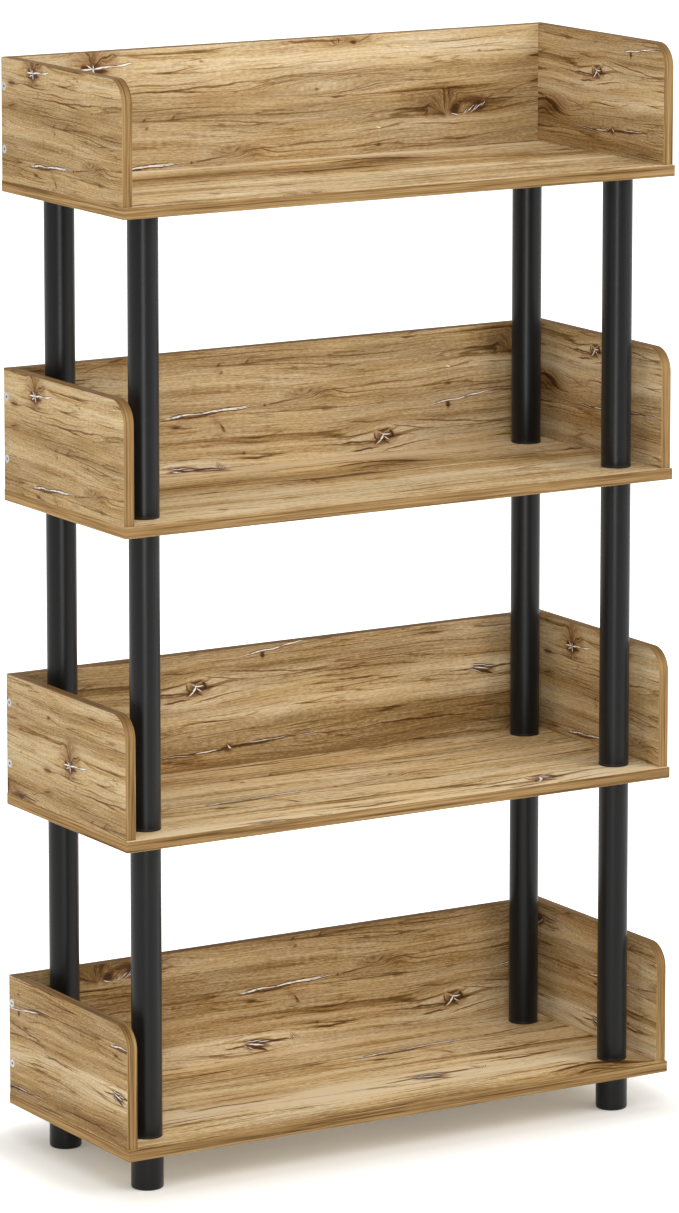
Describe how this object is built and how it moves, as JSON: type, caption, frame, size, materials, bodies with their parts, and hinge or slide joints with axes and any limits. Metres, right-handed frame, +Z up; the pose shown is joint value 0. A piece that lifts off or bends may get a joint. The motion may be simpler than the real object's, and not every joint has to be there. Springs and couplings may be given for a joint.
{
  "type": "display shelf",
  "caption": "Free-standing display shelf of oak-look boards with low side and back panels, clamped on black screw-together tubes with short round feet.",
  "frame": {"origin": "on the floor, under the middle of the boards", "axes": "+Z up, +X to the right along the boards, the open front towards -Y"},
  "size_m": [0.668, 0.26, 1.1615],
  "materials": {
    "oak_laminate": "matt oak-look laminate with dark cracks and knots",
    "black_tube": "satin black plastic tube",
    "black_plug": "moulded black plastic",
    "black_foot": "moulded black plastic, satin",
    "zinc_screw": "bright zinc plating"
  },
  "bodies": {
    "root": {"back_panel_1": "oak_laminate", "back_panel_2": "oak_laminate", "back_panel_3": "oak_laminate", "back_panel_4": "oak_laminate", "base_screws_1": "zinc_screw", "base_screws_2": "zinc_screw", "base_screws_3": "zinc_screw", "base_screws_4": "zinc_screw", "foot_back_left": "black_foot", "foot_back_right": "black_foot", "foot_front_left": "black_foot", "foot_front_right": "black_foot", "left_panel_1": "oak_laminate", "left_panel_2": "oak_laminate", "left_panel_3": "oak_laminate", "left_panel_4": "oak_laminate", "right_panel_1": "oak_laminate", "right_panel_2": "oak_laminate", "right_panel_3": "oak_laminate", "right_panel_4": "oak_laminate", "shelf_board_1": "oak_laminate", "shelf_board_2": "oak_laminate", "shelf_board_3": "oak_laminate", "shelf_board_4": "oak_laminate", "side_screws_1": "zinc_screw", "side_screws_2": "zinc_screw", "side_screws_3": "zinc_screw", "side_screws_4": "zinc_screw", "socket_plugs_1": "black_plug", "socket_plugs_2": "black_plug", "socket_plugs_3": "black_plug", "stud_plugs_1": "black_plug", "stud_plugs_2": "black_plug", "stud_plugs_3": "black_plug", "top_anchors": "black_plug", "tube_back_left_1": "black_tube", "tube_back_left_2": "black_tube", "tube_back_left_3": "black_tube", "tube_back_right_1": "black_tube", "tube_back_right_2": "black_tube", "tube_back_right_3": "black_tube", "tube_front_left_1": "black_tube", "tube_front_left_2": "black_tube", "tube_front_left_3": "black_tube", "tube_front_right_1": "black_tube", "tube_front_right_2": "black_tube", "tube_front_right_3": "black_tube"}
  },
  "joints": []
}
